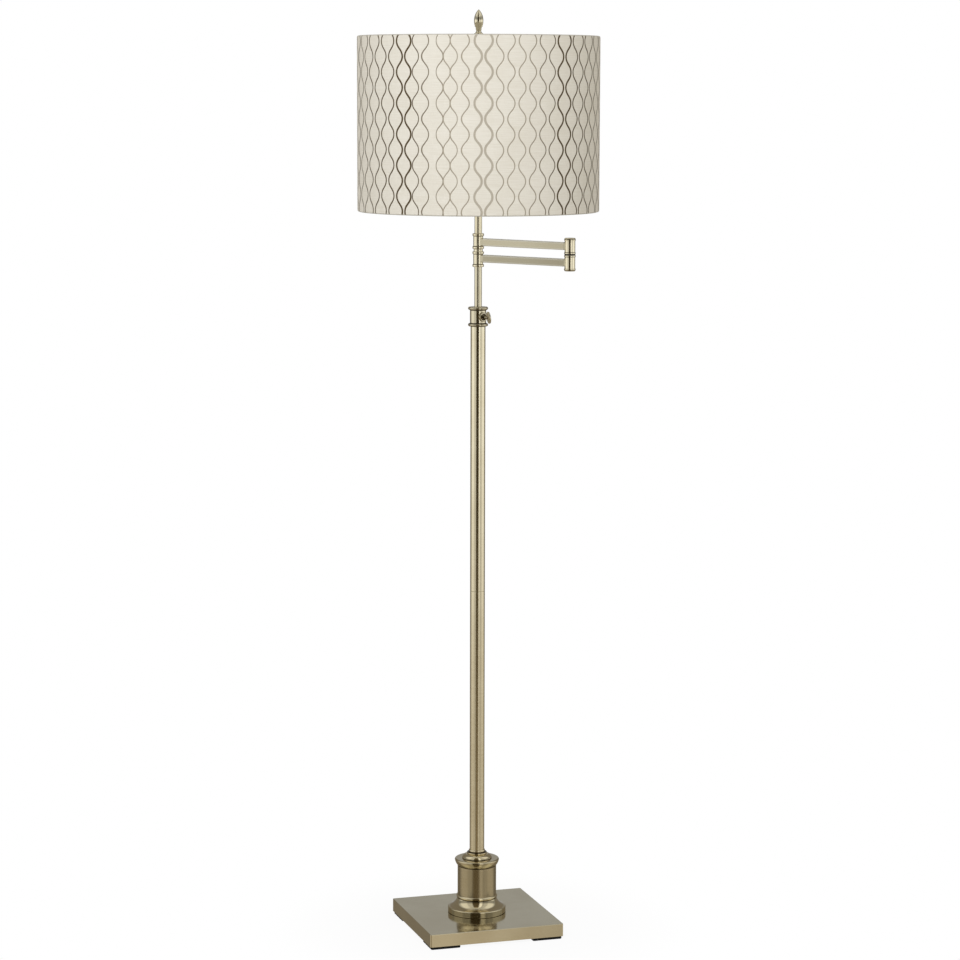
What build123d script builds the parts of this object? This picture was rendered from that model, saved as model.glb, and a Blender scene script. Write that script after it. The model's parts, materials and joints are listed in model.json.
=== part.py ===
from build123d import *

import os
from math import cos, hypot, radians, sin

# A swing arm floor lamp that stands on a square base plate.
# Millimetres, +Z up, origin on the floor under the pole. The front is -Y, the cord leaves at +Y.

# Clearances
slip = 0.05  # close fits: spigots, threads, pins and faces that turn on each other
play = 0.1  # a guide that slides in its tube
clear = 0.3  # pieces that pass without touching

# Base plate and feet
plate_side = 237.0
plate_height = 22.0
plate_wall = 2.0
plate_corner = 2.5
plate_edge = 1.0
tray_gap = 0.4  # between the walls of the cover and what fills it
floor_plate_thickness = 1.5
foot_side = 52.0
foot_height = 5.0
foot_corner = 3.0
foot_inset = 2.0
foot_slant = 0.8
screw_radius = 2.0
screw_head_radius = 3.8
screw_head_height = 1.8
screw_grip = 10.0
screw_margin = 12.0  # from the feet to the screws

# Cord inlet in the back of the base
cord_bore = 3.6
bushing_wall = 1.6
bushing_lip = 2.4
bushing_lip_thickness = 2.0
bushing_lip_round = 0.9
bushing_tail = 6.0
inlet_lift = 9.5  # above the lower edge of the cover
channel_gap = 1.0
weight_roof = 4.5  # iron left above the cord channel

# Threaded rod through base and pedestal
rod_radius = 4.85
rod_bore = 3.2
rod_tail = 2.0
rod_nut_flats = 15.0
rod_nut_height = 6.0
rod_washer_radius = 14.0
rod_washer_thickness = 2.0
rod_recess_margin = 4.0

# Pedestal, from the plate up
pedestal_flange_radius = 50.0
pedestal_flange_height = 11.0
pedestal_flange_round = 1.6
pedestal_foot_round = 1.2
pedestal_recess_wall = 5.0
pedestal_recess_depth = 7.0
cove_height = 15.0
cove_sag = 3.0
bead_root_radius = 34.0
bead_radius = 35.4
bead_height = 5.5
barrel_radius = 33.4
barrel_wall = 2.0
barrel_height = 51.5
rim_radius = 38.2
rim_height = 12.4
rim_round = 2.4
rim_belly = 0.8
rim_plate = 3.0
rim_spigot_depth = 4.0
rim_spigot_wall = 2.0
dome_radius = 25.6
dome_height = 11.0
dome_lip = 1.2
dome_bulge = 2.0
dome_bead_root_radius = 16.4
dome_bead_radius = 17.2
dome_bead_height = 3.4
dome_wall = 3.0
ring_radius = 13.9
ring_height = 4.3
ring_round = 1.4

# Pole
pole_radius = 12.7
pole_wall = 1.2
pole_section_length = 453.4
pole_end_bevel = 0.4
plug_length = 30.0
coupler_length = 50.0
coupler_wall = 2.5

# Height collar and its thumb screw
collar_height = 33.2
collar_radius = 13.8
collar_bead_radius = 17.0
collar_bead_height = 5.3
collar_spigot_depth = 18.0
bush_wall = 2.0
bush_length = 23.0
thumb_heading = -74.0
thumb_radius = 2.5
thumb_shoulder_radius = 7.8
thumb_shoulder_thickness = 3.4
thumb_shoulder_round = 1.1
thumb_dish_radius = 5.6
thumb_dish_depth = 1.6
thumb_neck_radius = 2.8
thumb_neck_length = 15.0
paddle_length = 10.4
paddle_height = 20.6
paddle_thickness = 3.6
paddle_round = 1.2
paddle_tilt = 10.0

# Inner pole, which slides in the pole
mast_radius = 6.35
mast_wall = 1.2
mast_shown = 67.2  # above the height collar
raise_travel = 250.0
raise_stop = 0.5  # left between guide ring and collar when fully raised
guide_length = 20.0

# Swing post, pins and nuts of the arms
post_radius = 4.2
wire_bore = 2.5
post_plug_length = 18.0
swing_washer_thickness = 0.8
small_nut_flats = 10.0
small_nut_height = 4.0
pin_head_radius = 6.0
pin_head_height = 3.0
pin_end = 0.4  # pin or post standing out of its nut
cap_thickness = 1.5
cap_rise = 2.4  # of the elbow's domed caps
cap_round = 2.0
cap_inset = 0.3
swing_cap_radius = 7.7
swing_cap_round = 0.3
swing_gap = 0.4  # left between the cap and the upper collar
elbow_washer_radius = 9.2

# Arms and the spool shaped pieces at their ends
arm_run = 158.5  # from pole axis to elbow axis
arm_drop = 5.0  # the elbow hangs lower than the collars
arm_spacing = 27.6  # from the lower arm's middle to the upper arm's
arm_heading = -32.0
arm_side = 12.7
arm_wall = 1.2
arm_corner = 1.0
stub_side = 12.1
stub_length = 1.2
spigot_length = 10.0
spool_height = 26.1
spool_gap = 4.2
spool_radius = 8.3
spool_flange_radius = 9.7
spool_flange_height = 4.6
spool_flange_round = 1.2
elbow_height = 24.4  # of each of its two spools, without the caps
elbow_gap = 2.2
elbow_radius = 9.0
elbow_flange_height = 2.2
elbow_bead_height = 2.6  # flange at the elbow's middle
elbow_flange_round = 0.6
recess_radius = 6.9
recess_depth = 7.0
stem_seat = 8.0  # floor of the stem's bore in the upper collar

# Stem and lamp socket
stem_radius = 6.35
stem_wall = 1.2
stem_shown = 70.7
nipple_radius = 4.85
nipple_bore = 3.2
nipple_sunk = 18.0
nipple_proud = 6.0
socket_cap_radius = 17.0
socket_cap_floor_radius = 9.0
socket_cap_wall = 0.8
socket_cap_curve = 12.0
socket_cap_bulge = 2.2
socket_cap_height = 16.0
socket_shell_wall = 0.7
socket_shell_height = 42.6
socket_shell_seat = 13.4
socket_liner_wall = 0.5
socket_liner_proud = 1.4
socket_body_height = 12.6
screw_shell_bore = 13.3
screw_shell_wall = 0.4
screw_shell_height = 25.0
knob_heading = -90.0
knob_radius = 6.0
knob_length = 15.0
knob_round = 1.0
knob_gap = 4.0  # from the socket shell to the knob
knob_shaft_radius = 1.6
knob_shaft_sunk = 10.0
knob_lift = 6.6  # above the floor of the socket body

# Bulb
bulb_cap_radius = 13.0
bulb_cap_height = 24.0
bulb_contact_radius = 4.0
bulb_contact_height = 3.0
bulb_radius = 30.0
bulb_height = 84.0
bulb_wall = 1.0
bulb_waist_angle = 35.0

# Harp
saddle_half_width = 28.6
saddle_strip = 8.0
saddle_thickness = 1.6
saddle_rise = 20.0
saddle_hub_radius = 12.0
harp_wire = 1.6
harp_foot_width = 7.0
harp_foot_lift = 3.0
harp_tang = 4.0  # foot above the saddle's strip
harp_height = 250.4  # from saddle to spider
harp_half_width = 62.0
harp_straight = 58.0
harp_belly_low = 114.0
harp_belly_high = 156.0
harp_shoulder = 14.0
harp_bend_foot = 40.0
harp_bend_belly = 70.0
harp_bend_top = 18.0
harp_boss_radius = 6.5
harp_boss_height = 6.0
stud_radius = 3.1
stud_height = 12.0
sleeve_wall = 0.8
sleeve_height = 13.0

# Shade and finial
shade_radius = 203.2
shade_height = 292.0
fabric_thickness = 0.6
liner_thickness = 0.8
shade_wire = 1.6
shade_hem = 1.2  # from the shade's edge to its ring
liner_inset = 2.6  # from the shade's edge to the liner's, room for the rolled hem
spider_hub_radius = 11.0
spider_hub_thickness = 2.0
spider_drop = 4.0  # hub below the shade's top edge
spoke_count = 3
spoke_heading = 30.0
spoke_wire = 1.3
finial_base_radius = 7.4
finial_base_height = 8.2
finial_neck_radius = 4.4
finial_neck_height = 12.6
finial_neck_sag = 1.0
finial_step_radius = 5.3
finial_groove_radius = 6.1
finial_groove_height = 18.8
finial_belly_radius = 7.8
finial_belly_height = 29.5
finial_height = 47.5
finial_tip_radius = 0.4
finial_bore_depth = 12.0

# Heights from the floor
plate_top = foot_height + plate_height
weight_low = foot_height + floor_plate_thickness
weight_top = plate_top - plate_wall
recess_top = weight_top - weight_roof
pedestal_flange_top = plate_top + pedestal_flange_height
cove_top = pedestal_flange_top + cove_height
bead_top = cove_top + bead_height
barrel_top = bead_top + barrel_height
rim_top = barrel_top + rim_height
dome_top = rim_top + dome_height
ring_top = dome_top + ring_height
pole_seam = ring_top + pole_section_length
pole_top = pole_seam + pole_section_length
collar_low = pole_top - collar_spigot_depth
collar_top = pole_top + collar_height
thumb_height = (pole_top + collar_top) / 2
swing_low = collar_top + mast_shown
mast_top = swing_low - swing_washer_thickness
lower_spool_low = swing_low + slip
lower_spool_top = lower_spool_low + spool_height
upper_spool_low = lower_spool_top + spool_gap
upper_spool_top = upper_spool_low + spool_height
spool_middle = (lower_spool_top + upper_spool_low) / 2
elbow_middle = spool_middle - arm_drop
lower_elbow_top = elbow_middle - elbow_gap / 2
lower_elbow_low = lower_elbow_top - elbow_height
upper_elbow_low = elbow_middle + elbow_gap / 2
upper_elbow_top = upper_elbow_low + elbow_height
stem_top = upper_spool_top + stem_shown
saddle_top = stem_top + saddle_thickness
socket_shell_low = saddle_top + socket_shell_seat
socket_shell_top = socket_shell_low + socket_shell_height
socket_body_top = socket_shell_low + socket_body_height
harp_top = saddle_top + harp_height
hub_low = harp_top + slip
hub_top = hub_low + spider_hub_thickness
shade_top = hub_top + spider_drop
shade_low = shade_top - shade_height
finial_low = hub_top + slip

# Radii of fits
cavity_side = plate_side - 2 * plate_wall
filling_side = cavity_side - 2 * tray_gap
bushing_radius = cord_bore + bushing_wall
rod_hole = rod_radius + clear
rod_recess_radius = rod_washer_radius + rod_recess_margin
barrel_bore = barrel_radius - barrel_wall
pole_bore = pole_radius - pole_wall
pole_spigot = pole_bore - slip
mast_bore = mast_radius - mast_wall
mast_hole = mast_radius + clear
bush_radius = mast_radius + slip + bush_wall
stem_bore = stem_radius - stem_wall
nipple_hole = nipple_radius + slip
arm_bore = arm_side - 2 * arm_wall
post_hole = post_radius + slip
stub_reach = spool_radius + stub_length
arm_span = hypot(arm_run, arm_drop)
socket_shell_radius = socket_cap_radius - socket_cap_wall - slip
socket_liner_radius = socket_shell_radius - socket_shell_wall - slip
socket_body_radius = socket_liner_radius - socket_liner_wall - slip
fabric_bore = shade_radius - fabric_thickness
liner_radius = fabric_bore - slip
liner_bore = liner_radius - liner_thickness
shade_ring_radius = liner_bore - slip - shade_wire

# Directions and places
pole_axis = (0, 0)
up = Vector(0, 0, 1)
arm_out = Vector(cos(radians(arm_heading)), sin(radians(arm_heading)), 0)
arm_across = up.cross(arm_out)
arm_slope = (arm_out * arm_run - up * arm_drop).normalized()
elbow_axis = (arm_out.X * arm_run, arm_out.Y * arm_run)
thumb_out = Vector(cos(radians(thumb_heading)), sin(radians(thumb_heading)), 0)
thumb_across = up.cross(thumb_out)
knob_out = Vector(cos(radians(knob_heading)), sin(radians(knob_heading)), 0)

os.makedirs("parts", exist_ok=True)


def save(piece, name):
    piece.part.label = name
    export_step(piece.part, f"parts/{name}.step")


def make_tube(name, radius, bore, low, high, centre=pole_axis, bevel=0):
    with BuildPart() as tube:
        with BuildSketch(Plane.XY.offset(low)):
            with Locations(centre):
                Circle(radius)
                Circle(bore, mode=Mode.SUBTRACT)
        extrude(amount=high - low)
        if bevel:
            rims = tube.edges().filter_by(GeomType.CIRCLE)
            chamfer(rims.filter_by(lambda edge: edge.radius > (radius + bore) / 2), bevel)
    save(tube, name)


def make_nut(name, flats, bore, low, height, centre=pole_axis):
    with BuildPart() as nut:
        with BuildSketch(Plane.XY.offset(low)):
            with Locations(centre):
                RegularPolygon(flats / 2, 6, major_radius=False)
                Circle(bore, mode=Mode.SUBTRACT)
        extrude(amount=height)
    save(nut, name)


# Base: pressed cover
inlet = Plane(
    origin=(0, plate_side / 2, foot_height + inlet_lift), x_dir=(1, 0, 0), z_dir=(0, 1, 0)
)
with BuildPart() as base_cover:
    with BuildSketch(Plane.XY.offset(foot_height)):
        RectangleRounded(plate_side, plate_side, plate_corner)
    extrude(amount=plate_height)
    fillet(base_cover.faces().sort_by(Axis.Z)[-1].edges(), plate_edge)
    with BuildSketch(Plane.XY.offset(foot_height)):
        Rectangle(cavity_side, cavity_side)
    extrude(amount=plate_height - plate_wall, mode=Mode.SUBTRACT)
    with BuildSketch(Plane.XY.offset(plate_top)):
        Circle(rod_hole)
    extrude(amount=-plate_wall, mode=Mode.SUBTRACT)
    with BuildSketch(inlet):
        Circle(bushing_radius + slip)
    extrude(amount=-plate_wall, mode=Mode.SUBTRACT)
save(base_cover, "base_cover")

# Base: iron weight with a recess for the rod's nut and a channel for the cord
channel_width = 2 * (bushing_radius + channel_gap)
screw_pitch = plate_side - 2 * (foot_inset + foot_side + screw_margin)
with BuildPart() as base_weight:
    with BuildSketch(Plane.XY.offset(weight_low)):
        Rectangle(filling_side, filling_side)
    extrude(amount=weight_top - weight_low)
    with BuildSketch(Plane.XY.offset(weight_low)):
        Circle(rod_recess_radius)
        with Locations((0, filling_side / 4)):
            Rectangle(channel_width, filling_side / 2)
    extrude(amount=recess_top - weight_low, mode=Mode.SUBTRACT)
    with BuildSketch(Plane.XY.offset(recess_top)):
        Circle(rod_hole)
    extrude(amount=weight_roof, mode=Mode.SUBTRACT)
    with BuildSketch(Plane.XY.offset(weight_low)):
        with GridLocations(screw_pitch, screw_pitch, 2, 2):
            Circle(screw_radius + slip)
    extrude(amount=screw_grip + clear, mode=Mode.SUBTRACT)
save(base_weight, "base_weight")

# Base: floor plate and its screws
with BuildPart() as base_floor_plate:
    with BuildSketch(Plane.XY.offset(foot_height)):
        Rectangle(filling_side, filling_side)
        with GridLocations(screw_pitch, screw_pitch, 2, 2):
            Circle(screw_radius + slip, mode=Mode.SUBTRACT)
    extrude(amount=floor_plate_thickness)
save(base_floor_plate, "base_floor_plate")

with BuildPart() as base_screws:
    with BuildSketch(Plane.XY.offset(foot_height)):
        with GridLocations(screw_pitch, screw_pitch, 2, 2):
            Circle(screw_radius)
    extrude(amount=floor_plate_thickness + screw_grip)
    with BuildSketch(Plane.XY.offset(foot_height)):
        with GridLocations(screw_pitch, screw_pitch, 2, 2):
            Circle(screw_head_radius)
    extrude(amount=-screw_head_height)
save(base_screws, "base_screws")

# Base: foot pads under the corners
foot_offset = plate_side / 2 - foot_inset - foot_side / 2
foot_places = {
    "front_left": (-foot_offset, -foot_offset),
    "front_right": (foot_offset, -foot_offset),
    "back_left": (-foot_offset, foot_offset),
    "back_right": (foot_offset, foot_offset),
}
for corner, place in foot_places.items():
    with BuildPart() as foot:
        with BuildSketch():
            with Locations(place):
                RectangleRounded(foot_side, foot_side, foot_corner)
        extrude(amount=foot_height)
        chamfer(foot.faces().sort_by(Axis.Z)[0].edges(), foot_slant)
    save(foot, f"foot_{corner}")

# Base: bushing of the cord inlet
with BuildPart() as cord_bushing:
    with BuildSketch(inlet):
        Circle(bushing_radius + bushing_lip)
    extrude(amount=bushing_lip_thickness)
    fillet(cord_bushing.faces().sort_by(Axis.Y)[-1].edges(), bushing_lip_round)
    with BuildSketch(inlet):
        Circle(bushing_radius)
    extrude(amount=-(plate_wall + bushing_tail))
    with BuildSketch(inlet.offset(bushing_lip_thickness)):
        Circle(cord_bore)
    extrude(amount=-(bushing_lip_thickness + plate_wall + bushing_tail), mode=Mode.SUBTRACT)
save(cord_bushing, "cord_bushing")

# Threaded rod, which clamps base, pedestal and pole together
rod_washer_low = recess_top - rod_washer_thickness
rod_nut_low = rod_washer_low - rod_nut_height
plug_top = ring_top + plug_length
make_tube("rod_washer", rod_washer_radius, rod_hole, rod_washer_low, recess_top)
make_nut("rod_nut", rod_nut_flats, rod_radius + slip, rod_nut_low, rod_nut_height)
make_tube("center_rod", rod_radius, rod_bore, rod_nut_low - rod_tail, plug_top)

# Pedestal: spreading foot with cove and bead
with BuildPart() as pedestal_foot:
    with BuildSketch(Plane.XZ):
        with BuildLine():
            flange_edge = pedestal_flange_radius - pedestal_flange_round
            recess_roof = plate_top + pedestal_recess_depth
            recess_edge = pedestal_flange_radius - pedestal_recess_wall
            foot_edge = pedestal_flange_radius - pedestal_foot_round
            Polyline(
                (bead_root_radius, bead_top),
                (barrel_bore, bead_top),
                (barrel_bore, recess_roof),
                (recess_edge, recess_roof),
                (recess_edge, plate_top),
                (foot_edge, plate_top),
            )
            CenterArc((foot_edge, plate_top + pedestal_foot_round), pedestal_foot_round, 270, 90)
            Line(
                (pedestal_flange_radius, plate_top + pedestal_foot_round),
                (pedestal_flange_radius, pedestal_flange_top - pedestal_flange_round),
            )
            CenterArc(
                (flange_edge, pedestal_flange_top - pedestal_flange_round), pedestal_flange_round, 0, 90
            )
            SagittaArc((flange_edge, pedestal_flange_top), (bead_root_radius, cove_top), cove_sag)
            ThreePointArc(
                (bead_root_radius, cove_top),
                (bead_radius, (cove_top + bead_top) / 2),
                (bead_root_radius, bead_top),
            )
        make_face()
    revolve(axis=Axis.Z)
save(pedestal_foot, "pedestal_foot")

# Pedestal: barrel
make_tube("pedestal_barrel", barrel_radius, barrel_bore, bead_top, barrel_top)

# Pedestal: rim that closes the barrel, rounded at its top and drawn in below
with BuildPart() as pedestal_rim:
    with BuildSketch(Plane.XZ):
        with BuildLine():
            rim_edge = rim_radius - rim_round
            rim_spigot = barrel_bore - slip
            Polyline(
                (rim_edge, rim_top),
                (rod_hole, rim_top),
                (rod_hole, rim_top - rim_plate),
                (rim_spigot - rim_spigot_wall, rim_top - rim_plate),
                (rim_spigot - rim_spigot_wall, barrel_top - rim_spigot_depth),
                (rim_spigot, barrel_top - rim_spigot_depth),
                (rim_spigot, barrel_top),
                (barrel_radius, barrel_top),
            )
            SagittaArc((barrel_radius, barrel_top), (rim_radius, rim_top - rim_round), -rim_belly)
            CenterArc((rim_edge, rim_top - rim_round), rim_round, 0, 90)
        make_face()
    revolve(axis=Axis.Z)
save(pedestal_rim, "pedestal_rim")

# Pedestal: domed cap with a bead at its top
with BuildPart() as pedestal_dome:
    with BuildSketch(Plane.XZ):
        with BuildLine():
            dome_bead_low = dome_top - dome_bead_height
            dome_cavity = dome_bead_root_radius - dome_wall
            Polyline(
                (dome_bead_root_radius, dome_top),
                (rod_hole, dome_top),
                (rod_hole, dome_top - dome_wall),
                (dome_cavity, dome_top - dome_wall),
                (dome_cavity, rim_top),
                (dome_radius, rim_top),
                (dome_radius, rim_top + dome_lip),
            )
            SagittaArc(
                (dome_radius, rim_top + dome_lip), (dome_bead_root_radius, dome_bead_low), -dome_bulge
            )
            ThreePointArc(
                (dome_bead_root_radius, dome_bead_low),
                (dome_bead_radius, (dome_bead_low + dome_top) / 2),
                (dome_bead_root_radius, dome_top),
            )
        make_face()
    revolve(axis=Axis.Z)
save(pedestal_dome, "pedestal_dome")

# Ring under the pole
with BuildPart() as pole_ring:
    with BuildSketch(Plane.XY.offset(dome_top)):
        Circle(ring_radius)
    extrude(amount=ring_height)
    fillet(pole_ring.edges(), ring_round)
    with BuildSketch(Plane.XY.offset(dome_top)):
        Circle(rod_hole)
    extrude(amount=ring_height, mode=Mode.SUBTRACT)
save(pole_ring, "pole_ring")

# Pole: two tubes, the threaded plug at their foot and the coupler in their seam
coupler_low = pole_seam - coupler_length / 2
coupler_top = pole_seam + coupler_length / 2
make_tube("pole_plug", pole_spigot, rod_radius + slip, ring_top, plug_top)
make_tube("lower_pole", pole_radius, pole_bore, ring_top, pole_seam, bevel=pole_end_bevel)
make_tube("pole_coupler", pole_spigot, pole_spigot - coupler_wall, coupler_low, coupler_top)
make_tube("upper_pole", pole_radius, pole_bore, pole_seam, pole_top, bevel=pole_end_bevel)

# Height collar, seated in the top of the pole
thumb_axis = Plane(origin=(0, 0, thumb_height), x_dir=thumb_across, z_dir=thumb_out)
bush_top = collar_low + bush_length
with BuildPart() as height_collar:
    with BuildSketch(Plane.XZ):
        with BuildLine():
            collar_bead_root = collar_bead_radius - collar_bead_height / 2
            low_bead_top = pole_top + collar_bead_height
            high_bead_low = collar_top - collar_bead_height
            ThreePointArc(
                (collar_bead_root, pole_top),
                (collar_bead_radius, (pole_top + low_bead_top) / 2),
                (collar_bead_root, low_bead_top),
            )
            Polyline(
                (collar_bead_root, low_bead_top),
                (collar_radius, low_bead_top),
                (collar_radius, high_bead_low),
                (collar_bead_root, high_bead_low),
            )
            ThreePointArc(
                (collar_bead_root, high_bead_low),
                (collar_bead_radius, (high_bead_low + collar_top) / 2),
                (collar_bead_root, collar_top),
            )
            Polyline(
                (collar_bead_root, collar_top),
                (mast_hole, collar_top),
                (mast_hole, bush_top),
                (bush_radius + slip, bush_top),
                (bush_radius + slip, collar_low),
                (pole_spigot, collar_low),
                (pole_spigot, pole_top),
                (collar_bead_root, pole_top),
            )
        make_face()
    revolve(axis=Axis.Z)
    with BuildSketch(thumb_axis):
        Circle(thumb_radius + slip)
    extrude(amount=collar_bead_radius, mode=Mode.SUBTRACT)
save(height_collar, "height_collar")
make_tube("collar_bush", bush_radius, mast_radius + slip, collar_low, bush_top)

# Thumb screw: shank, dished shoulder, neck and a flat oval paddle
shoulder_start = collar_radius + clear
neck_start = shoulder_start + thumb_shoulder_thickness
dish_floor = neck_start - thumb_dish_depth
paddle_centre = neck_start + thumb_neck_length
paddle_turn = radians(paddle_tilt)
paddle_face = Plane(
    origin=(0, 0, thumb_height),
    x_dir=thumb_out,
    z_dir=thumb_across * -cos(paddle_turn) - up * sin(paddle_turn),
)
turning_face = Plane(origin=(0, 0, thumb_height), x_dir=thumb_out, z_dir=-thumb_across)
shank_start = mast_radius + clear
shoulder_edge = thumb_shoulder_radius - thumb_shoulder_round
with BuildPart() as thumb_screw:
    with BuildSketch(paddle_face):
        with Locations((paddle_centre, 0)):
            Ellipse(paddle_length / 2, paddle_height / 2)
    extrude(amount=paddle_thickness / 2, both=True)
    fillet(thumb_screw.edges().filter_by(GeomType.ELLIPSE), paddle_round)
    with BuildSketch(turning_face):
        with BuildLine():
            Polyline(
                (neck_start, shoulder_edge),
                (neck_start, thumb_dish_radius),
                (dish_floor, thumb_dish_radius),
                (dish_floor, thumb_neck_radius),
                (paddle_centre, thumb_neck_radius),
                (paddle_centre, 0),
                (shank_start, 0),
                (shank_start, thumb_radius),
                (shoulder_start, thumb_radius),
                (shoulder_start, shoulder_edge),
            )
            CenterArc((shoulder_start + thumb_shoulder_round, shoulder_edge), thumb_shoulder_round, 180, -90)
            Line(
                (shoulder_start + thumb_shoulder_round, thumb_shoulder_radius),
                (neck_start - thumb_shoulder_round, thumb_shoulder_radius),
            )
            CenterArc((neck_start - thumb_shoulder_round, shoulder_edge), thumb_shoulder_round, 90, -90)
        make_face()
    revolve(axis=Axis((0, 0, thumb_height), thumb_out))
save(thumb_screw, "thumb_screw")

# Inner pole with its guide ring, and the post that the lower arm swings on
guide_top = collar_low - raise_travel - raise_stop
mast_low = guide_top - guide_length
make_tube("inner_pole", mast_radius, mast_bore, mast_low, mast_top)
make_tube("inner_pole_guide", pole_bore - play, mast_radius + slip, mast_low, guide_top)
make_tube("swing_washer", mast_radius, post_hole, mast_top, swing_low)

swing_nut_low = lower_spool_top - recess_depth + slip
swing_nut_top = swing_nut_low + small_nut_height
with BuildPart() as swing_post:
    with BuildSketch(Plane.XY.offset(mast_top)):
        Circle(mast_bore - slip)
    extrude(amount=-post_plug_length)
    with BuildSketch(Plane.XY.offset(mast_top)):
        Circle(post_radius)
    extrude(amount=swing_nut_top + pin_end - mast_top)
    with BuildSketch(Plane.XY.offset(mast_top - post_plug_length)):
        Circle(wire_bore)
    extrude(amount=post_plug_length + swing_nut_top + pin_end - mast_top, mode=Mode.SUBTRACT)
save(swing_post, "swing_post")
make_nut("swing_nut", small_nut_flats, post_hole, swing_nut_low, small_nut_height)


# Spools: each turned piece at an arm's end has two flanges, a square stub and a spigot for the arm.
# The flange heights are given from the bottom up.
def arm_end(place, height, toward):
    return Plane(origin=(*place, height), x_dir=arm_across, z_dir=toward)


def make_spool(name, centre, low, high, outlet, radius, flange_heights, flange_round, bores):
    low_flange, high_flange = flange_heights
    with BuildPart() as spool:
        with BuildSketch(Plane.XY.offset(low)):
            with Locations(centre):
                Circle(radius)
        extrude(amount=high - low)
        for flange_low, flange_height in ((low, low_flange), (high - high_flange, high_flange)):
            with BuildSketch(Plane.XY.offset(flange_low)):
                with Locations(centre):
                    Circle(spool_flange_radius)
            extrude(amount=flange_height)
        rims = spool.edges().filter_by(GeomType.CIRCLE)
        fillet(rims.filter_by(lambda edge: edge.radius > radius + slip), flange_round)
        with BuildSketch(outlet):
            RectangleRounded(stub_side, stub_side, arm_corner)
        extrude(amount=stub_reach)
        with BuildSketch(outlet.offset(stub_reach)):
            Rectangle(arm_bore - 2 * slip, arm_bore - 2 * slip)
        extrude(amount=spigot_length)
        with BuildSketch(outlet):
            Circle(wire_bore)
        extrude(amount=stub_reach + spigot_length, mode=Mode.SUBTRACT)
        for bore, bore_low, bore_high in bores:
            with BuildSketch(Plane.XY.offset(bore_low)):
                with Locations(centre):
                    Circle(bore)
            extrude(amount=bore_high - bore_low, mode=Mode.SUBTRACT)
    save(spool, name)


def make_arm(name, collar_end):
    with BuildPart() as arm:
        with BuildSketch(collar_end.offset(stub_reach)):
            RectangleRounded(arm_side, arm_side, arm_corner)
            Rectangle(arm_bore, arm_bore, mode=Mode.SUBTRACT)
        extrude(amount=arm_span - 2 * stub_reach)
    save(arm, name)


lower_arm_start = arm_end(pole_axis, spool_middle - arm_spacing / 2, arm_slope)
upper_arm_start = arm_end(pole_axis, spool_middle + arm_spacing / 2, arm_slope)
lower_arm_finish = arm_end(elbow_axis, elbow_middle - arm_spacing / 2, -arm_slope)
upper_arm_finish = arm_end(elbow_axis, elbow_middle + arm_spacing / 2, -arm_slope)

collar_flanges = (spool_flange_height, spool_flange_height)
make_spool(
    "lower_arm_collar",
    pole_axis,
    lower_spool_low,
    lower_spool_top,
    lower_arm_start,
    spool_radius,
    collar_flanges,
    spool_flange_round,
    [
        (post_hole, lower_spool_low, lower_spool_top),
        (recess_radius, lower_spool_top - recess_depth, lower_spool_top),
    ],
)
make_arm("lower_arm", lower_arm_start)
make_spool(
    "lower_elbow",
    elbow_axis,
    lower_elbow_low,
    lower_elbow_top,
    lower_arm_finish,
    elbow_radius,
    (elbow_flange_height, elbow_bead_height),
    elbow_flange_round,
    [
        (post_hole, lower_elbow_low, lower_elbow_top),
        (recess_radius, lower_elbow_low, lower_elbow_low + recess_depth),
    ],
)
make_spool(
    "upper_elbow",
    elbow_axis,
    upper_elbow_low,
    upper_elbow_top,
    upper_arm_finish,
    elbow_radius,
    (elbow_bead_height, elbow_flange_height),
    elbow_flange_round,
    [
        (post_hole, upper_elbow_low, upper_elbow_top),
        (recess_radius, upper_elbow_top - recess_depth, upper_elbow_top),
    ],
)
make_arm("upper_arm", upper_arm_start)
make_spool(
    "upper_arm_collar",
    pole_axis,
    upper_spool_low,
    upper_spool_top,
    upper_arm_start,
    spool_radius,
    collar_flanges,
    spool_flange_round,
    [(stem_radius + slip, upper_spool_low + stem_seat, upper_spool_top)],
)

# Elbow pin with its washer and nut
elbow_nut_low = upper_elbow_top - recess_depth + slip
elbow_nut_top = elbow_nut_low + small_nut_height
pin_seat = lower_elbow_low + recess_depth
with BuildPart() as elbow_pin:
    with BuildSketch(Plane.XY.offset(pin_seat)):
        with Locations(elbow_axis):
            Circle(pin_head_radius)
    extrude(amount=-pin_head_height)
    with BuildSketch(Plane.XY.offset(pin_seat)):
        with Locations(elbow_axis):
            Circle(post_radius)
    extrude(amount=elbow_nut_top + pin_end - pin_seat)
    with BuildSketch(Plane.XY.offset(pin_seat - pin_head_height)):
        with Locations(elbow_axis):
            Circle(wire_bore)
    extrude(amount=pin_head_height + elbow_nut_top + pin_end - pin_seat, mode=Mode.SUBTRACT)
save(elbow_pin, "elbow_pin")
make_tube(
    "elbow_washer", elbow_washer_radius, post_hole, lower_elbow_top, upper_elbow_low - slip, elbow_axis
)
make_nut("elbow_nut", small_nut_flats, post_hole, elbow_nut_low, small_nut_height, elbow_axis)


# Caps that close the recesses of the spools, each with a plug and a disc that rises over the flange
def make_cap(name, centre, face, inward, radius, rise, edge_round):
    with BuildPart() as cap:
        with BuildSketch(Plane.XY.offset(face)):
            with Locations(centre):
                Circle(radius)
        extrude(amount=-inward * rise)
        far_side = cap.faces().sort_by(Axis.Z)[0 if inward > 0 else -1]
        fillet(far_side.edges(), edge_round)
        with BuildSketch(Plane.XY.offset(face)):
            with Locations(centre):
                Circle(recess_radius - slip)
        extrude(amount=inward * cap_thickness)
    save(cap, name)


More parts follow.
